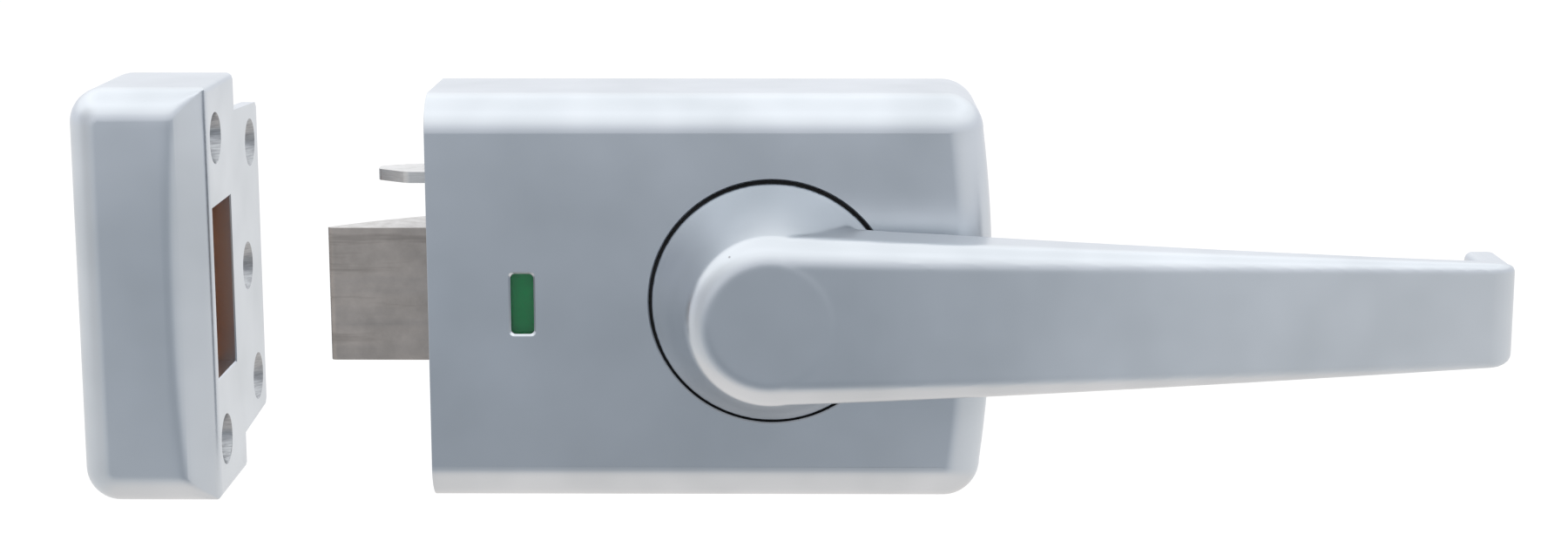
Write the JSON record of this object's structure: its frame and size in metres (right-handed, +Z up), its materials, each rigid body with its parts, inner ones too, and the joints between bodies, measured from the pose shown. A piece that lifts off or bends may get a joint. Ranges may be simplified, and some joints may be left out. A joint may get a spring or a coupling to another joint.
{
  "type": "lever deadlatch",
  "caption": "Surface mounted door deadlatch with a lever handle, status window, bevelled latch bolt, auxiliary trigger latch and separate box strike, satin chrome.",
  "frame": {"origin": "centre of the back plate's rear face, which lies on the door", "axes": "+X from the strike towards the lever's tip, +Y into the door, +Z up"},
  "size_m": [0.2491, 0.0673, 0.074],
  "materials": {
    "satin_chrome": "satin",
    "warm_steel": "satin, lightly scuffed",
    "pale_steel": "bright",
    "zinc_plate": "zinc plated",
    "spring_steel": "oiled",
    "cam_brass": "as cast",
    "green_enamel": "satin",
    "red_enamel": "satin",
    "clear_lens": "clear acrylic",
    "white_nylon": "moulded",
    "brown_plastic": "moulded"
  },
  "bodies": {
    "lock_case": {"case_cover": "satin_chrome", "back_plate": "zinc_plate", "bolt_guide_plate": "zinc_plate", "window_lens": "clear_lens", "spring_rod": "pale_steel", "bolt_spring": "spring_steel", "trigger_spring": "spring_steel", "detent_pin": "pale_steel", "detent_spring": "spring_steel", "slide_pin_1": "pale_steel", "slide_pin_2": "pale_steel", "cover_screw_1": "pale_steel", "cover_screw_2": "pale_steel", "cover_screw_3": "pale_steel", "cover_screw_4": "pale_steel", "lever_bush": "white_nylon", "lever_return_spring": "spring_steel"},
    "lever": {"lever_handle": "satin_chrome", "lever_spindle": "pale_steel", "lever_grub_screw": "pale_steel", "retaining_ring": "spring_steel", "drive_cam": "cam_brass", "cam_screw": "pale_steel"},
    "bolt": {"latch_bolt": "warm_steel", "bolt_tail": "zinc_plate", "drive_pin": "pale_steel", "bolt_rivet_1": "pale_steel", "bolt_rivet_2": "pale_steel"},
    "trigger": {"trigger_latch": "pale_steel"},
    "detent": {"deadlock_detent": "cam_brass"},
    "key_turn": {"key_cam": "cam_brass"},
    "lock_slide": {"locking_slide": "zinc_plate", "flag_green": "green_enamel", "flag_red": "red_enamel"},
    "strike": {"strike_keep": "satin_chrome", "strike_liner": "brown_plastic"}
  },
  "joints": [
    {"name": "lever_turn", "type": "hinge", "parent": "lock_case", "child": "lever", "pos_m": [0.01065, 0, 0], "axis": [0, 1, 0], "range_deg": [0, 50], "stiffness_Nm_per_rad": 0.5, "springref_deg": -34.38},
    {"name": "bolt_slide", "type": "slide", "parent": "lock_case", "child": "bolt", "axis": [1, 0, 0], "range_m": [0, 0.018], "deforming": ["bolt_spring"]},
    {"name": "trigger_slide", "type": "slide", "parent": "lock_case", "child": "trigger", "axis": [1, 0, 0], "range_m": [0, 0.009], "stiffness_N_per_m": 120, "springref_m": -0.02, "deforming": ["trigger_spring"]},
    {"name": "detent_swing", "type": "hinge", "parent": "lock_case", "child": "detent", "pos_m": [-0.021, 0, 0.0154], "axis": [0, 1, 0], "range_deg": [-12, 0]},
    {"name": "key_cam_turn", "type": "hinge", "parent": "lock_case", "child": "key_turn", "pos_m": [0.01065, 0, 0], "axis": [0, 1, 0], "range_deg": [-22.5, 0]},
    {"name": "locking_slide_move", "type": "slide", "parent": "lock_case", "child": "lock_slide", "axis": [1, 0, 0], "range_m": [0, 0.00505]},
    {"name": "strike_approach", "type": "slide", "parent": "lock_case", "child": "strike", "axis": [1, 0, 0], "range_m": [0, 0.026]}
  ],
  "couplings": [
    {"joint": "bolt_slide", "follows": "lever_turn", "m_per_rad": 0.020625},
    {"joint": "detent_swing", "follows": "trigger_slide", "rad_per_m": -23.2},
    {"joint": "key_cam_turn", "follows": "locking_slide_move", "rad_per_m": -77.7}
  ]
}
